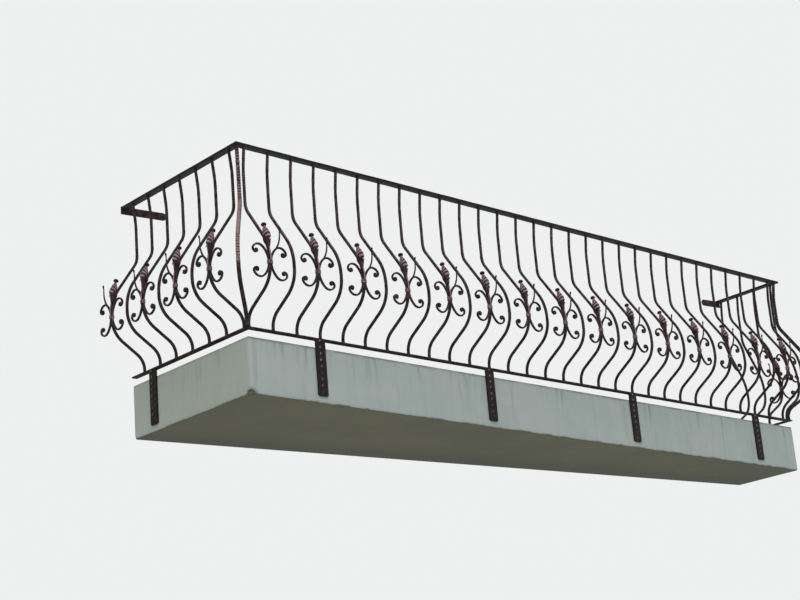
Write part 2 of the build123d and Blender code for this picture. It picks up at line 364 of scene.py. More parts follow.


# The colours of the slab: two for each of its sides, those of the soffit darkened with painted shade, then
# what lies over them, which includes painted shade on the left face and beside the wall
FACE_TONES = (colour(0.335, 0.372, 0.345), colour(0.300, 0.345, 0.330))
SOFFIT_SHADE_TONES = (colour(0.104, 0.096, 0.048), colour(0.080, 0.077, 0.041))
TOP_TONES = (colour(0.235, 0.235, 0.215), colour(0.165, 0.168, 0.150))
PALE_PATCH, LEFT_FACE_SHADE = colour(0.385, 0.410, 0.375), colour(0.330, 0.352, 0.262)
RUN_DIRT, SOFT_DIRT = colour(0.085, 0.092, 0.078), colour(0.150, 0.165, 0.145)
TOP_DIRT, DRIP_DIRT = colour(0.130, 0.138, 0.115), colour(0.075, 0.072, 0.052)
SOFFIT_PATCH, WALL_SHADE = colour(0.072, 0.072, 0.048), colour(0.040, 0.044, 0.030)
CHIP_DARK, GRAIN_TONE = colour(0.035, 0.035, 0.028), colour(0.2, 0.2, 0.18)

# Where dirt comes in, and, for the last pair, where painted shade darkens the soffit beside the wall:
# heights from the slab's middle and depths from the wall, in metres
RUNS_RISE, TOP_EDGE, DRIP_EDGE, WALL_SIDE = (-0.02, 0.135), (0.114, 0.134), (-0.122, -0.132), (-0.32, -0.03)

# The soft run of dirt beside the left corner, and the chip out of that corner, in millimetres
CORNER_RUN, CORNER_RUN_REACH = 32.0, 18.0
CHIP_REACH, CHIP_DEPTH, CHIP_RIM = 34.0, 19.0, 8.0


def slab_face(n, cloud, patch):
    """Painted cement render with dirt runs, dirty edges and painted shade, darker and yellower, on its left
    side.
    """
    height = n.at("Z")
    fine_runs = n.noise(26.0, (1.0, 1.0, 0.10), detail=3.0)
    wide_runs = n.noise(90.0, (1.0, 1.0, 0.16), detail=3.0)
    face = n.mix(n.between(cloud, 0.3, 0.7), *FACE_TONES)
    face = n.mix(n.between(patch, 0.45, 0.75, 0.0, 0.35), face, PALE_PATCH)
    runs = n.math("MULTIPLY", n.between(fine_runs, 0.44, 0.76), n.between(wide_runs, 0.40, 0.66, 0.08, 0.70))
    runs = n.math("MULTIPLY", runs, n.between(height, *RUNS_RISE, 0.28, 0.93))
    face = n.mix(runs, face, RUN_DIRT)
    edge = n.math("MULTIPLY", n.between(height, *TOP_EDGE), n.between(patch, 0.36, 0.62, 0.30, 1.00))
    face = n.mix(edge, face, TOP_DIRT)
    drip = n.math("MULTIPLY", n.between(height, *DRIP_EDGE), n.between(patch, 0.44, 0.60, 0.10, 0.90))
    face = n.mix(drip, face, DRIP_DIRT)
    beside = to_wall(SLAB_FACE + CORNER_RUN, SLAB_FACE)
    at_corner = n.near((*beside, 0.0), CORNER_RUN_REACH, (1.0, 1.0, 0.0))
    face = n.mix(n.math("MULTIPLY", at_corner, n.between(fine_runs, 0.3, 0.6, 0.15, 0.4)), face, SOFT_DIRT)
    # painted shade on the slab's left face
    return n.mix(n.between(n.normal("X"), -0.5, -0.9, 0.0, 0.45), face, LEFT_FACE_SHADE)


def slab_soffit(n, cloud, patch):
    """The soffit, darkened with painted shade, more of it beside the wall."""
    soffit = n.mix(n.between(cloud, 0.3, 0.7), *SOFFIT_SHADE_TONES)
    soffit = n.mix(n.between(patch, 0.42, 0.70, 0.0, 0.3), soffit, SOFFIT_PATCH)
    # painted shade on the soffit, darker towards the wall
    return n.mix(n.between(n.at("Y"), *WALL_SIDE, 0.0, 0.55), soffit, WALL_SHADE)


def slab_render():
    """The slab's material: painted faces, a soffit darkened with painted shade, a bare top, and a dark chip
    in the lower corner.
    """
    n = Nodes("painted_render")
    cloud, patch, grain = n.noise(620.0), n.noise(95.0), n.noise(2.4, detail=6.0)
    up = n.normal("Z")
    tone = n.mix(n.between(up, -0.35, -0.8), slab_face(n, cloud, patch), slab_soffit(n, cloud, patch))
    tone = n.mix(n.between(up, 0.35, 0.8), tone, n.mix(n.between(patch, 0.3, 0.7), *TOP_TONES))
    corner = (*to_wall(SLAB_FACE, SLAB_FACE), -SLAB_THICKNESS / 2)
    # the chip and a rim round it are painted near black
    chip = n.math("MULTIPLY", n.near(corner, CHIP_REACH + CHIP_RIM), n.between(patch, 0.2, 0.6, 0.7, 1.0))
    tone = n.mix(chip, tone, CHIP_DARK)
    tone = n.mix(n.between(grain, 0.3, 0.7, 0.0, 0.16), tone, GRAIN_TONE)
    n.feed(n.shader.inputs["Base Color"], tone)
    n.feed(n.shader.inputs["Roughness"], n.between(grain, 0.3, 0.7, 0.80, 0.95))
    trowelled = n.bump(patch, 2.5, 0.35)
    n.feed(n.shader.inputs["Normal"], n.bump(grain, 0.5, 0.45, trowelled))
    return n.material


IRON = iron_paint("brushed_iron", COPPER)
LEAF_IRON = iron_paint("rubbed_leaf_iron", PINK_COPPER)
RENDER = slab_render()


# Bent bars; a value of one is copper, worn through by rubbing on the ornament and a painted highlight on the
# bars, posts and straps; zero is paint with brown blotches, minus a half is black paint
WELD_SPREAD, WELD_LENGTH, WELD_STEPS = 3.2, 3.0, 5
ENDS_RUN = 2.0                # bars run this far into the rails that they are welded to
# painted shade: just below the handrail the bars get no painted highlight
RAIL_SHADE_DEPTH, RAIL_SHADE_FADE = 4.0, 26.0


def belly_line(reach, setback, chord=4.0, step=12.0):
    """Middle line of a belly bar in its section, from the handrail to the bottom rail."""
    up, low = radians(UPPER_SLOPE), radians(LOWER_SLOPE)
    upper, lower = NECK_RADIUS + UPPER_RADIUS, LOWER_RADIUS + FOOT_RADIUS
    upper_run = (reach + TOP_LEAN - upper * (1 - cos(up))) / sin(up)
    lower_run = (reach + setback - lower * (1 - cos(low))) / sin(low)
    neck_height = BELLY_HEIGHT + BELLY_SEAT / 2 + upper * sin(up) + upper_run * cos(up)
    foot_run = BELLY_HEIGHT - BELLY_SEAT / 2 - lower * sin(low) - lower_run * cos(low)
    lean = atan2(TOP_LEAN, LEAN_HEIGHT)
    top_run = hypot(TOP_LEAN, LEAN_HEIGHT) - LEAN_BEND
    moves = [
        *WELD_STEPS * [(ENDS_RUN,)], (top_run - (WELD_STEPS - 1) * ENDS_RUN,),
        (LEAN_BEND / tan(lean / 2), -lean * 180 / pi),
        (RAILING_HEIGHT - LEAN_HEIGHT - LEAN_BEND - neck_height,),
        (NECK_RADIUS, -UPPER_SLOPE), (upper_run,), (UPPER_RADIUS, UPPER_SLOPE),
        (BELLY_SEAT,), (LOWER_RADIUS, LOWER_SLOPE), (lower_run,), (FOOT_RADIUS, -LOWER_SLOPE),
        *WELD_STEPS * [((foot_run + ENDS_RUN) / WELD_STEPS,)],
    ]
    start = (-ENDS_RUN * sin(lean), RAILING_HEIGHT + ENDS_RUN * cos(lean))
    return line(start, lean * 180 / pi - 90, moves, chord, step)


def welded(points, width):
    """Width along a bar that spreads into a weld at both ends."""
    along = lengths_along(points)
    end = np.minimum(along, along[-1] - along)
    return width + WELD_SPREAD * np.exp(-np.maximum(end - ENDS_RUN, 0) / WELD_LENGTH)


def out_of_rail_shade(points):
    """Zero just under the handrail and one from 30 mm below it: painted shade there keeps the painted
    highlight off the top of each bar.
    """
    return np.clip((RAILING_HEIGHT - RAIL_SHADE_DEPTH - points[:, 1]) / RAIL_SHADE_FADE, 0, 1)


def outer_face(steps):
    """One on the outer face of a ring of a belly bar, falling to zero round its soft corners."""
    quarter = np.linspace(0, pi / 2, steps)
    none = np.zeros(steps)
    return np.concatenate([none, np.sin(quarter), np.cos(quarter), none])


def notches(points, pitch, width):
    """One in the middle of each chiselled notch along a bar, zero between the notches."""
    along = lengths_along(points)
    return np.exp(-(((along % pitch) - pitch / 2) / (width / 2)) ** 2)


BAR_NOTCHES = (12.0, 4.6)     # pitch and width of the notches
BAR_NOTCH_DEPTH, BAR_NOTCHED_FROM = 1.5, 606.0
# ground paint of the bars, and the strength of their painted highlight
BAR_GROUND, BAR_HIGHLIGHT = 0.07, 0.46
RIDGE_HIGHLIGHT, NOTCH_SHADE = 0.95, 1.15
SLOPE_MIDDLE, SLOPE_FADE, SLOPE_PEAK = 480.0, 200.0, 1.35    # the slope above the belly gets the strongest painted highlight


def bar():
    """A bar of the rows, chiselled above its neck, with a painted highlight on its outer face along the
    slope above the belly and on the ridges between the notches, and painted shade in the notches.
    """
    points = belly_line(BELLY_REACH, FOOT_SETBACK, step=3.0)
    chiselled = points[:, 1] > BAR_NOTCHED_FROM
    cut = notches(points, *BAR_NOTCHES) * chiselled
    width = welded(points, BAR) - BAR_NOTCH_DEPTH * cut
    # painted highlight on the outer face of the slope and of the chiselled ridges, painted shade in the
    # notches
    on_slope = np.clip(SLOPE_PEAK - np.abs(points[:, 1] - SLOPE_MIDDLE) / SLOPE_FADE, 0, 1)
    lit = np.where(chiselled, RIDGE_HIGHLIGHT * (1 - NOTCH_SHADE * cut), on_slope) * out_of_rail_shade(points)
    copper_and_highlight = BAR_GROUND + BAR_HIGHLIGHT * lit[:, None] * outer_face(3)
    return sweep(points, width, width), copper_and_highlight.ravel()


POST_NOTCHES = (13.5, 4.6)    # pitch and width of the rings
POST_NOTCH_DEPTH = 3.2
POST_NOTCHED = ((14.0, 250.0), (522.0, 668.0), (962.0, 1000.0))       # stretches along the post
POST_HIGHLIGHTS = ((225.0, 255.0, 500.0, 640.0), (0.0, 1.1, 0.85, 0.62))     # heights and the painted highlight at each
POST_NOTCH_SHADE, POST_PLAIN_HIGHLIGHT = 1.3, 0.85
POST_CORNER, POST_CORNER_STEPS = 2.6, 4


def corner_post():
    """A corner post with chiselled rings in three stretches, with a painted highlight on its outer face that
    changes with height and painted shade in the rings.
    """
    points = belly_line(POST_REACH, POST_SETBACK, chord=1.2, step=2.4)
    along = lengths_along(points)
    cut = notches(points, *POST_NOTCHES)
    notched = sum(((along > low) & (along < high)) for low, high in POST_NOTCHED)
    width = welded(points, POST) - POST_NOTCH_DEPTH * cut * notched
    # painted highlight along the post's outer face, weaker in the rings, where painted shade falls
    lit = np.interp(points[:, 1], *POST_HIGHLIGHTS)
    lit = lit * np.where(notched, 1 - POST_NOTCH_SHADE * cut, POST_PLAIN_HIGHLIGHT) * out_of_rail_shade(points)
    shell = sweep(points, width, width, radius=POST_CORNER, steps=POST_CORNER_STEPS)
    return shell, (BAR_GROUND + np.clip(lit, 0, None)[:, None] * outer_face(POST_CORNER_STEPS)).ravel()


# Ornament, drawn round the middle of a bar that stands at x = 0
BAND = (26.0, 17.5, 18.0)
BAND_RINGS = ((2.4, -0.5), (0.5, -0.42), (0.0, -0.24), (1.5, 0.0), (0.0, 0.24), (0.5, 0.42), (2.4, 0.5))
BAND_CORNER, HOLE_CORNER = 2.4, 1.0
SCROLL_MOVES = ((7.0,), (81.0, -50.0), (36.0, -98.0), (16.0, -110.0), (11.0, -80.0))
SCROLL_ROOT, SCROLL_TIP = 5.4, 7.0     # width of the bar under the collar and where it rolls into the eye
SCROLL_ACROSS = ((0.0, 0.06, 0.25, 1.0), (SCROLL_ROOT, SCROLL_ROOT, SCROLL_BAR, SCROLL_TIP))
SCROLL_DEEP = ((0.0, 0.5, 1.0), (SCROLL_BAR, SCROLL_BAR, SCROLL_BAR + 1.5))
SCROLL_GROUND, SCROLL_RUB, SCROLL_FADE = 0.12, 0.55, 22.0
EYE_RADIUS, EYE_DEPTH, EYE_ROUND = 10.4, 7.6, (-82, -60, -38, -15, 15, 38, 60, 82)
SHOOT_START, SHOOT_HEADING, SHOOT_MOVES = (33.0, 63.0), 48.0, ((120.0, 45.0), (80.0, -25.0))
SHOOT_TAPER = ((0.0, 0.84, 0.91, 0.96, 1.0), (8.0, 4.8, 7.6, 7.0, 2.0))
COLLAR_RUB, EYE_RUB, SHOOT_RUB = 0.60, 0.10, 0.10


def level_ring(across, deep, radius, level):
    """The points of a soft-cornered rectangle at a level."""
    section = sweep([(-1.0, 0.0), (1.0, 0.0)], across, deep, radius)[0][:RING]
    return np.c_[section[:, 0], section[:, 2], np.full(RING, level)]


def collar():
    """The forged band that holds the scrolls to the bar, grooved round its middle."""
    width, depth, height = BAND
    rings = []
    for inset, level in BAND_RINGS:
        rings.append(level_ring(depth - 2 * inset, width - 2 * inset, BAND_CORNER, level * height))
    for level in (0.5, -0.5):
        rings.append(level_ring(BAR, BAR, HOLE_CORNER, level * height))
    return skin(np.array(rings), closed=True)


def scroll():
    """The upper right scroll, a tapering bar, with its line and how much copper shows through the paint at
    each vertex.
    """
    points = line(((BAR + SCROLL_ROOT) / 2 + FIT, 0.0), 90, SCROLL_MOVES, 5.0, 7.0)
    along = lengths_along(points)
    across, deep = (np.interp(along / along[-1], *table) for table in (SCROLL_ACROSS, SCROLL_DEEP))
    copper_and_highlight = SCROLL_GROUND + SCROLL_RUB * np.exp(-along / SCROLL_FADE)
    return sweep(points, across, deep, 2.0, "front"), points, np.repeat(copper_and_highlight, RING)


def eye(points):
    """The rolled end of a scroll, a domed disc, with its placement."""
    heading = points[-1] - points[-2]
    inward = np.array([heading[1], -heading[0]]) / np.hypot(*heading)
    centre = points[-1] + inward * (EYE_RADIUS - SCROLL_TIP / 2)
    shell = lathe([(EYE_RADIUS * cos(a), EYE_DEPTH * sin(a)) for a in np.radians(EYE_ROUND)], 14)
    return shell, moved(centre[0], 0, centre[1]) @ moved(tilt=90)


def shoot():
    """The thin shoot behind the upper scroll, drawn out to a bud."""
    points = line(SHOOT_START, SHOOT_HEADING, SHOOT_MOVES, 4.0)
    along = lengths_along(points)
    width = np.interp(along / along[-1], *SHOOT_TAPER)
    return sweep(points, width, width, 1.4, "front")


def add_scrolls(piece, place, hand):
    """Four scrolls, their collar and one shoot; hand is the side of the shoot."""
    centre = place @ moved(0, -BELLY_REACH, BELLY_HEIGHT)
    shape, points, copper_and_highlight = scroll()
    rolled, lying = eye(points)
    piece.add(collar(), centre, COLLAR_RUB)
    for sideways in (np.eye(4), FLIPPED):
        for upright in (np.eye(4), UPSIDE_DOWN):
            corner = centre @ sideways @ upright
            piece.add(shape, corner, copper_and_highlight)
            piece.add(rolled, corner @ lying, EYE_RUB)
    piece.add(shoot(), centre if hand > 0 else centre @ FLIPPED, SHOOT_RUB)


# Leaf on its stem
LEAF_TOP, LEAF_RIM, LEAF_TONGUE, LEAF_LEAN = 112.0, 56.0, 36.0, 5.0
LEAF_RADII = ((0.0, 0.22, 0.45, 0.68, 0.85, 1.0), (4.6, 9.5, 14.0, 17.5, 16.0, 12.0))
LEAF_RIBS, RIB_DROP, RIB_DEPTH = 4.25, 0.50, 3.0
RIB_AT_TOP, RIB_SIDE_LOSS = 0.25, 0.4
LEAF_SHEET, LEAF_WRAP = 1.5, 2.5       # thickness, and how far round each side it goes in radians
LEAF_ROWS, LEAF_COLUMNS = 34, 29
LEAF_RUB, RIB_RUB, INNER_RUB = 0.60, 0.65, 0.1
CALYX_BACK = 4.5              # the calyx wraps the bar as well, so it sits back from the stem
SEPAL_LINE = ((4.0, -8.0), (7.0, 4.0), (10.5, 17.0), (14.0, 29.0), (16.0, 40.0), (15.0, 53.0), (11.0, 66.0))
SEPAL_WIDE = ((0.0, 0.35, 0.85, 1.0), (3.0, 8.6, 9.6, 2.4))
SEPAL_THICK = ((0.0, 0.8, 1.0), (3.0, 2.6, 0.8))
SEPAL_RUBS = (0.42, 0.16, 0.04, 0.04, 0.04, 0.04, 0.04, 0.04, 0.16)
KNOB = (
    (1.0, -13.0), (4.8, -12.5), (4.6, -8.0), (4.6, -5.0), (8.2, -4.2), (11.8, -2.2),
    (13.0, 1.0), (12.4, 4.6), (9.8, 8.2), (5.6, 10.4), (1.0, 11.2),
)
STEM_RUB, KNOB_RUB = 0.75, 0.12


def stem_line():
    """The stem's line, round the bend and then straight up, with the point where it straightens."""
    off_bar = BAR / 2 + FIT + STEM / 2
    start = (-BELLY_REACH - off_bar, BELLY_HEIGHT + BELLY_SEAT / 2 - STEM_FOOT)
    points = line(start, 90, [(STEM_FOOT,), (UPPER_RADIUS + off_bar, -STEM_SLOPE)], 2.0)
    run = line(points[-1], 90 - STEM_SLOPE, [(STEM_RUN,)])
    return np.concatenate([points, run[1:]]), points[-1]


def leaf_blade():
    """A bell of rubbed ribs round the stem: narrow under the knob, open at the bar, a tongue outside."""
    shares = np.linspace(0, 1, LEAF_ROWS), np.linspace(-1, 1, LEAF_COLUMNS)
    down, across = np.meshgrid(*shares, indexing="ij")
    edge, angle = np.abs(across), across * LEAF_WRAP
    ribs = np.cos(2 * pi * LEAF_RIBS * (down - RIB_DROP * edge))
    depth = RIB_DEPTH * ribs * (RIB_AT_TOP + (1 - RIB_AT_TOP) * down) * (1 - RIB_SIDE_LOSS * edge)
    radius = np.interp(down, *LEAF_RADII) + depth
    up = LEAF_TOP - (LEAF_TOP - LEAF_RIM) * down - LEAF_TONGUE * (down * (1 - edge)) ** 2

    def sheet(radius):
        return np.stack([radius * np.sin(angle), -radius * np.cos(angle) - LEAF_LEAN * down, up], axis=-1)

    copper_and_highlight = np.clip(LEAF_RUB + RIB_RUB * ribs, 0, 1)
    rings = np.concatenate([sheet(radius), sheet(radius - LEAF_SHEET)[:, ::-1]], axis=1)
    return skin(rings), np.concatenate([copper_and_highlight, INNER_RUB * copper_and_highlight], axis=1).ravel()


def sepal():
    """One pointed rib of the dark calyx."""
    points = np.array(SEPAL_LINE)
    share = lengths_along(points) / lengths_along(points)[-1]
    wide, thick = (np.interp(share, *table) for table in (SEPAL_WIDE, SEPAL_THICK))
    return sweep(points * np.array([-1.0, 1.0]), thick, wide, 0.9)


def add_leaf(piece, place):
    """A stem with its calyx, leaf and knob."""
    points, foot = stem_line()
    piece.add(sweep(points, STEM, STEM, 2.6), place, STEM_RUB)
    base = place @ moved(0, foot[0], foot[1], tilt=-STEM_SLOPE)
    blade, copper_and_highlight = leaf_blade()
    piece.add(blade, base, copper_and_highlight)
    for number, rub_and_highlight in enumerate(SEPAL_RUBS):
        piece.add(sepal(), base @ moved(0, CALYX_BACK, turn=360 / len(SEPAL_RUBS) * number), rub_and_highlight)
    piece.add(lathe(KNOB, 18), base @ moved(0, 0, STEM_RUN), KNOB_RUB)


# Rows of bars
LEFT_HIGHLIGHT_SHARE = 0.55               # painted shade: the bars of the left side get less of the painted highlight than those of the front


def panels():
    """Name, placement, ornate places, plain places and side of the shoot of each stretch of bars."""
    front = row(FRONT_RUN, FRONT_ENDS)
    left = [-place for place in row(wall_at(0), LEFT_ENDS)]
    right = row(wall_at(FRONT_RUN), RIGHT_ENDS)
    found = [
        ("left", LEFT, left[::2], left[1::2], -1),
        ("right", RIGHT, right[1:2], right[:1] + right[2:], 1),
    ]
    bay_bars = ceil(len(front) / FRONT_BAYS)
    for bay in range(FRONT_BAYS):
        numbers = range(len(front))[bay * bay_bars:(bay + 1) * bay_bars]
        ornate = [front[number] for number in numbers if number % 2 == 0]
        plain = [front[number] for number in numbers if number % 2]
        found.append((str(bay + 1), FRONT, ornate, plain, 1))
    return found


def build_rows():
    """Bars, scrolls and leaves of each stretch."""
    shape, copper_and_highlight = bar()
    for name, panel, ornate, plain, hand in panels():
        bars = Piece("forged_bars_" + name, ("bars_plain_" + name, "bars_ornate_" + name), "iron", IRON)
        scrolls = Piece("forged_scrolls_" + name, ("scrolls_" + name,), "iron", IRON)
        leaves = Piece("forged_leaves_" + name, ("leaves_" + name,), "leaf_iron", LEAF_IRON)
        for x in ornate + plain:
            # painted shade on the left side: its bars get a smaller painted highlight
            bars.add(shape, panel @ moved(x), copper_and_highlight * (LEFT_HIGHLIGHT_SHARE if name == "left" else 1.0))
        for x in ornate:
            add_scrolls(scrolls, panel @ moved(x), hand)
            add_leaf(leaves, panel @ moved(x))
        bars.finish(hammer=0.35)
        scrolls.finish(hammer=0.35)
        leaves.finish(hammer=0.30, grain=8.0)


def build_posts():
    """The two corner posts."""
    shape, copper_and_highlight = corner_post()
    for side, corner in (("left", LEFT_CORNER), ("right", RIGHT_CORNER)):
        post = Piece("notched_post_" + side, ("corner_post_" + side,), "iron", IRON)
        post.add(shape, corner, copper_and_highlight)
        post.finish(hammer=0.30, grain=9.0)


# Rails
RAIL_STEP, RAIL_CORNER = 30.0, 1.8
HANDRAIL_RUB, BOTTOM_RUB = -0.5, 0.16


def rail(section, inset, wall_gap, level):
    """A flat bar along the three sides, mitred at the corners and cut along the wall."""
    left, right = inset, FRONT_RUN - inset
    gap = wall_gap / cos(SLOPE)
    side = line((left, wall_at(left)), -90, [(wall_at(left) - inset,)], step=RAIL_STEP)
    front = line((left, inset), 0, [(right - left,)], step=RAIL_STEP)
    back = line((right, inset), 90, [(wall_at(right) - inset,)], step=RAIL_STEP)
    plan = np.concatenate([side, front[1:], back[1:]])
    vertices, faces = sweep(plan, section[0], section[1], RAIL_CORNER, "plan")
    for end in (slice(0, RING), slice(len(vertices) - RING, None)):
        vertices[end, 1] = [wall_at(x) - gap for x in vertices[end, 0]]
    vertices[:, 2] += level
    return vertices, faces


def build_rails():
    """The handrail and the bottom rail, each one piece round the three sides."""
    sides = ("front", "left", "right")
    handrail = Piece("flat_handrail", ["handrail_" + side for side in sides], "iron", IRON)
    level = RAILING_HEIGHT + HANDRAIL[1] / 2
    handrail.add(rail(HANDRAIL, HANDRAIL[0] / 2 - RAIL_OUTSIDE, TAB[1], level), FRONT, HANDRAIL_RUB)
    handrail.finish(hammer=0.7, grain=70.0)
    bottom = Piece("flat_bottom_rail", ["bottom_rail_" + side for side in sides], "iron", IRON)
    bottom.add(rail(BOTTOM_RAIL, FOOT_SETBACK, 0.0, -BOTTOM_RAIL[1] / 2), FRONT, BOTTOM_RUB)
    bottom.finish(hammer=0.5, grain=70.0)


# Straps
STRAP_ROWS, STRAP_COLUMNS = 178, 33
BOSS_PITCH, BOSS_LENGTH, BOSS_WIDTH, BOSS_HEIGHT = 31.0, 22.0, 24.0, 3.2
PIT_DEPTH, PIT_WIDTH, PIT_LENGTH = 1.4, 4.0, 3.0
RIB_PLACE, RIB_WIDTH, RIB_HEIGHT = 0.70, 0.13, 1.4     # place and width are shares of the half width
BEAD_PITCH, BEADING, SCALLOP = 10.3, 0.4, 0.9
EDGE_ROUND, ROUND_FROM = 2.2, 0.90
STRAP_GROUND = -0.35          # the ground of a strap is nearly all dark paint
# the first value is the strength of the painted highlight on the bosses
BOSS_HIGHLIGHT, STRAP_RIB_RUB = 1.9, 0.15
LIT_MIDDLE, LIT_SLOPE, LIT_LOSS = 0.2, 2.4, 0.35       # painted highlight on one flank of each boss, weaker lower down


def strap():
    """A flat strap stamped with bosses, pits between them and a beaded rib along each edge."""
    width, thickness, height = STRAP
    places = np.linspace(0, height, STRAP_ROWS), np.linspace(-1, 1, STRAP_COLUMNS)
    down, across = np.meshgrid(*places, indexing="ij")
    bead = np.cos(2 * pi * down / BEAD_PITCH)
    clipped = np.clip(down - height + STRAP_CLIP, 0, STRAP_CLIP)
    x = across * (width / 2 - SCALLOP * (1 - bead) / 2 - clipped)
    from_boss = (down + BOSS_PITCH / 3) % BOSS_PITCH - BOSS_PITCH / 2
    boss = np.clip(1 - (2 * x / BOSS_WIDTH) ** 2 - (2 * from_boss / BOSS_LENGTH) ** 2, 0, 1) ** 0.5
    pit = np.exp(-(x / PIT_WIDTH) ** 2 - ((BOSS_PITCH / 2 - np.abs(from_boss)) / PIT_LENGTH) ** 2)
    rib = np.exp(-((np.abs(across) - RIB_PLACE) / RIB_WIDTH) ** 2) * (1 - BEADING + BEADING * bead)
    rounded = EDGE_ROUND * np.clip((np.abs(across) - ROUND_FROM) / (1 - ROUND_FROM), 0, 1) ** 2
    y = RAIL_EDGE + rounded + PIT_DEPTH * pit - BOSS_HEIGHT * boss - RIB_HEIGHT * rib
    front = np.stack([x, y, -BOTTOM_RAIL[1] - down], axis=-1)
    back = np.stack([x, np.full_like(x, RAIL_EDGE + thickness), -BOTTOM_RAIL[1] - down], axis=-1)
    # painted highlight on one flank of each boss
    flank = np.clip(LIT_MIDDLE - LIT_SLOPE * x / BOSS_WIDTH, 0, 1)
    copper_and_highlight = STRAP_GROUND + BOSS_HIGHLIGHT * boss * flank * (1 - LIT_LOSS * down / height) + STRAP_RIB_RUB * rib
    strap_copper_and_highlight = np.concatenate([copper_and_highlight, np.full_like(x, STRAP_GROUND)], axis=1)
    return skin(np.concatenate([front, back[:, ::-1]], axis=1)), strap_copper_and_highlight.ravel()


def build_straps():
    """Straps along the front and one on each return."""
    shape, copper_and_highlight = strap()
    places = {
        f"strap_{number + 1}": FRONT @ moved(STRAP_FIRST + STRAP_PITCH * number)
        for number in range(FRONT_STRAPS)
    }
    places["strap_left"] = LEFT @ moved(LEFT_STRAP - wall_at(0))
    places["strap_right"] = RIGHT @ moved(wall_at(FRONT_RUN) - RIGHT_STRAP)
    for node, place in places.items():
        piece = Piece("stamped_" + node, (node,), "iron", IRON)
        piece.add(shape, place, copper_and_highlight)
        piece.finish(hammer=0.5, grain=16.0)


# Wall tabs
SCREW = ((0.5, 6.6), (3.0, 6.2), (5.6, 5.0), (7.4, 3.0), (8.0, 1.2), (8.2, 0.4), (11.0, 0.3), (11.2, -0.2))
SCREW_RUB = 0.3


def build_screws():
    """A domed screw head and washer over the hole of each wall tab."""
    screws = Piece("tab_screws", (), "iron", IRON)
    level = RAILING_HEIGHT + HANDRAIL[1] + TAB_RISE - TAB[0] / 2 + LIFT
    ends = ((-RAIL_OUTSIDE, TAB_LENGTHS[0], 1), (FRONT_RUN + RAIL_OUTSIDE, TAB_LENGTHS[1], -1))
    for end_x, length, hand in ends:
        x = to_wall(end_x, wall_at(end_x))[0] + hand * (length - TAB_HOLE_FROM_END)
        screws.add(lathe(SCREW, 20), moved(x, -TAB[1], level) @ moved(tilt=90), SCREW_RUB)
    screws.finish()


def paint_tabs():
    """The wall tabs stay plain solids and get the iron's paint."""
    for node in ("wall_tab_left", "wall_tab_right"):
        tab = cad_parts[node]
        tab.data.materials.clear()
        tab.data.materials.append(IRON)


# Slab
SLAB_STEP, SLAB_EDGE, EDGE_CHORD = 24.0, 7.0, 22.5
CAP_INSET = 22.0              # the flat of the top and of the soffit starts this far in
EDGE_PROFILE = ((CAP_INSET, 0.0), (9.0, 0.0), (3.5, 1.2), (1.2, 4.0), (0.4, 9.0))     # insets and drops
FACE_FROM, FACE_RINGS = 20.0, 12
WEAR_MARKS, WEAR, WEAR_LIFT = 90.0, 1.1, 0.45
FINER, FINE_WEAR = 6, 0.4
LOW_MARKS, LOW_WEAR, LOW_REACH, LOW_START, LOW_SEED = 31.0, 11.0, 26.0, 0.1, 4.0
CHIP_SQUASH = 1.6             # the chip is lower than it is wide


def slab_plan():
    """Outline of the slab, its inward directions, those of its mitres, and the left corner."""
    left, right, front = SLAB_FACE, FRONT_RUN - SLAB_FACE, SLAB_FACE
    side = line((left, wall_at(left)), -90, [(wall_at(left) - front - SLAB_EDGE,)], step=SLAB_STEP)
    first = line(side[-1], -90, [(SLAB_EDGE, 90.0)], EDGE_CHORD)
    ahead = line(first[-1], 0, [(right - left - 2 * SLAB_EDGE,)], step=SLAB_STEP)
    second = line(ahead[-1], 0, [(SLAB_EDGE, 90.0)], EDGE_CHORD)
    back = line(second[-1], 90, [(wall_at(right) - second[-1][1],)], step=SLAB_STEP)
    plan = np.concatenate([side, first[1:], ahead[1:], second[1:], back[1:]])
    runs = np.gradient(plan, axis=0)
    inward = np.c_[-runs[:, 1], runs[:, 0]] / np.hypot(runs[:, 0], runs[:, 1])[:, None]
    inward[0], inward[-1] = (1.0, 0.0), (-1.0, 0.0)
    mitre = inward.copy()
    mitre[len(side) - 1:len(side) - 1 + len(first)] = (1.0, 1.0)
    mitre[1 - len(back) - len(second):1 - len(back)] = (-1.0, 1.0)
    return plan, inward, mitre, plan[len(side)]


def slab_levels():
    """Inset and height of each ring of the slab, from the top to the soffit."""
    half = SLAB_THICKNESS / 2
    upper = [(inset, half - drop) for inset, drop in EDGE_PROFILE]
    face = [(0.0, level) for level in np.linspace(half - FACE_FROM, FACE_FROM - half, FACE_RINGS)]
    lower = [(inset, drop - half) for inset, drop in reversed(EDGE_PROFILE)]
    return upper + face + lower


def slab_wear(x, y, level):
    """How far the render is worn in: unevenly all over, and more in places along the lower edge."""
    spot = (x / WEAR_MARKS, y / WEAR_MARKS, level / WEAR_MARKS)
    fine = noise.noise([FINER * part for part in spot])
    uneven = WEAR * (noise.noise(spot) + WEAR_LIFT) + FINE_WEAR * fine
    low = max(0.0, 1 - (level + SLAB_THICKNESS / 2) / LOW_REACH)
    broken = max(0.0, noise.noise((x / LOW_MARKS, y / LOW_MARKS, LOW_SEED)) - LOW_START)
    return max(0.0, uneven) + LOW_WEAR * (low * broken)


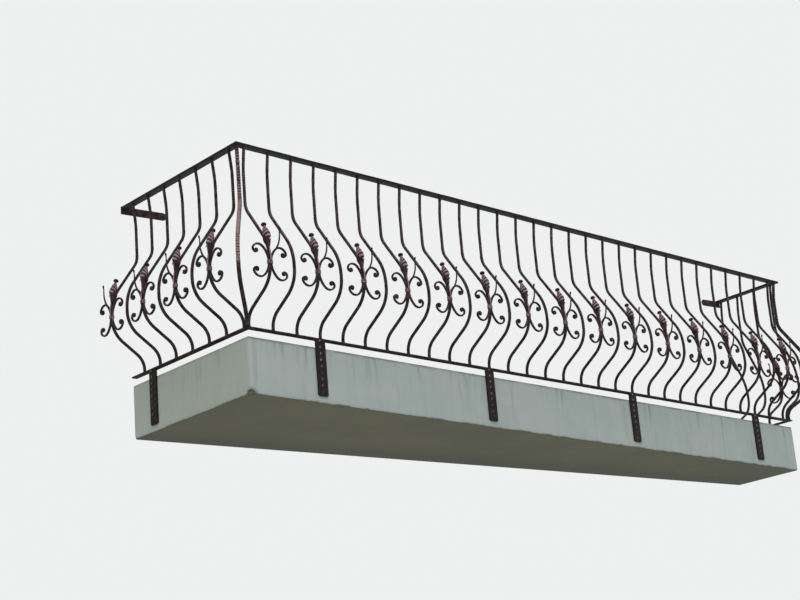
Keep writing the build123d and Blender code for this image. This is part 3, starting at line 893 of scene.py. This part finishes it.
def slab():
    """The rendered slab: worn edges, a chipped lower corner, flat against the wall."""
    plan, inward, mitre, corner = slab_plan()
    rings = []
    for inset, level in slab_levels():
        ring = []
        worn = 1 - inset / CAP_INSET
        for number, (x, y) in enumerate(plan):
            above = (level + SLAB_THICKNESS / 2) * CHIP_SQUASH
            chip = CHIP_DEPTH * max(0.0, 1 - hypot(x - corner[0], y - corner[1], above) / CHIP_REACH)
            offset = inset + worn * (slab_wear(x, y, level) + chip)
            height = level + (worn * chip if level < 0 else 0.0)
            square = max(0.0, offset - SLAB_EDGE + 1)
            x_in, y_in = (x, y) + inward[number] * (offset - square) + mitre[number] * square
            at_wall = number in (0, len(plan) - 1)
            ring.append((x_in, wall_at(x_in) if at_wall else y_in, height))
        rings.append(ring)
    return skin(np.array(rings))


def build_slab():
    """The slab as one piece."""
    piece = Piece("rendered_slab", ("slab",), "concrete", RENDER)
    piece.add(slab(), moved(*to_wall(0, 0), 0.0, SKEW))
    piece.finish(crease=50.0)


build_rows()
build_posts()
build_rails()
build_straps()
build_screws()
build_slab()
paint_tabs()


# Camera, stage and light: places in metres, the size of the mottle in millimetres, power in watts
FLOOR_LEVEL, FLOOR_HALF = -3.7, 120.0
PALE, MOTTLE, MOTTLE_SIZE, FLOOR_ROUGHNESS = (0.82, 0.83, 0.82), 0.97, 900.0, 0.9
SKY, SKY_STRENGTH, BACKDROP = colour(0.92, 0.97, 1.0), 0.72, colour(0.86, 0.875, 0.87)
LAMPS = (("key", (-5.0, -6.0, 6.5), 420.0), ("fill", (6.0, -5.0, 2.5), 90.0))
LAMP_AIM, LAMP_SIZE = (0.0, -0.5, 0.4), 5.0


def build_camera():
    """The photograph's camera, moved from the rail frame to the wall frame."""
    yaw, pitch, roll = radians(CAMERA_YAW - SKEW), radians(CAMERA_PITCH), radians(CAMERA_ROLL)
    ahead = np.array([sin(yaw) * cos(pitch), cos(yaw) * cos(pitch), sin(pitch)])
    level = np.array([cos(yaw), -sin(yaw), 0.0])
    above = np.cross(level, ahead)
    right = cos(roll) * level + sin(roll) * above
    up = cos(roll) * above - sin(roll) * level
    x, y = to_wall(*CAMERA_PLACE[:2])
    place = np.array([x, y, CAMERA_PLACE[2] + LIFT]) * MM
    data = bpy.data.cameras.new("camera")
    data.sensor_fit = "HORIZONTAL"
    data.sensor_width = SENSOR_WIDTH
    data.lens = FOCAL_PIXELS * SENSOR_WIDTH / PHOTO_WIDTH
    camera = bpy.data.objects.new("camera", data)
    rows = [[*axes, spot] for axes, spot in zip(np.c_[right, up, -ahead], place)]
    camera.matrix_world = Matrix(rows + [[0, 0, 0, 1]])
    bpy.context.scene.collection.objects.link(camera)
    bpy.context.scene.camera = camera


def build_floor():
    """A pale floor under the balcony, far wider than the frame."""
    mesh = bpy.data.meshes.new("floor")
    corners = [(-1, -1), (1, -1), (1, 1), (-1, 1)]
    mesh.from_pydata([(x * FLOOR_HALF, y * FLOOR_HALF, FLOOR_LEVEL) for x, y in corners], [], [(0, 1, 2, 3)])
    n = Nodes("pale_floor")
    mottle = n.mix(n.between(n.noise(MOTTLE_SIZE), 0.3, 0.7), colour(*PALE), shaded(PALE, MOTTLE))
    n.feed(n.shader.inputs["Base Color"], mottle)
    n.feed(n.shader.inputs["Roughness"], FLOOR_ROUGHNESS)
    mesh.materials.append(n.material)
    floor = bpy.data.objects.new("floor", mesh)
    bpy.context.scene.collection.objects.link(floor)


def build_sky():
    """Soft light from all round; the camera and reflections see a pale backdrop instead."""
    world = bpy.data.worlds.new("studio")
    world.use_nodes = True
    bpy.context.scene.world = world
    tree = world.node_tree
    sky = tree.nodes["Background"]
    sky.inputs["Color"].default_value = SKY
    sky.inputs["Strength"].default_value = SKY_STRENGTH
    backdrop = tree.nodes.new("ShaderNodeBackground")
    backdrop.inputs["Color"].default_value = BACKDROP
    rays = tree.nodes.new("ShaderNodeLightPath")
    seen = rays.outputs["Is Camera Ray"]
    for kind in ("Is Glossy Ray", "Is Transmission Ray"):
        either = tree.nodes.new("ShaderNodeMath")
        either.operation = "MAXIMUM"
        tree.links.new(seen, either.inputs[0])
        tree.links.new(rays.outputs[kind], either.inputs[1])
        seen = either.outputs[0]
    choose = tree.nodes.new("ShaderNodeMixShader")
    tree.links.new(seen, choose.inputs[0])
    tree.links.new(sky.outputs[0], choose.inputs[1])
    tree.links.new(backdrop.outputs[0], choose.inputs[2])
    tree.links.new(choose.outputs[0], tree.nodes["World Output"].inputs["Surface"])


def build_lamps():
    """A key lamp at the left and a weaker fill at the right."""
    for name, place, power in LAMPS:
        data = bpy.data.lights.new(name, "AREA")
        data.size, data.energy = LAMP_SIZE, power
        lamp = bpy.data.objects.new(name, data)
        lamp.location = place
        lamp.rotation_euler = (Vector(LAMP_AIM) - Vector(place)).to_track_quat("-Z", "Y").to_euler()
        bpy.context.scene.collection.objects.link(lamp)


build_camera()
build_floor()
build_sky()
build_lamps()
bpy.context.scene.view_settings.view_transform = "Standard"
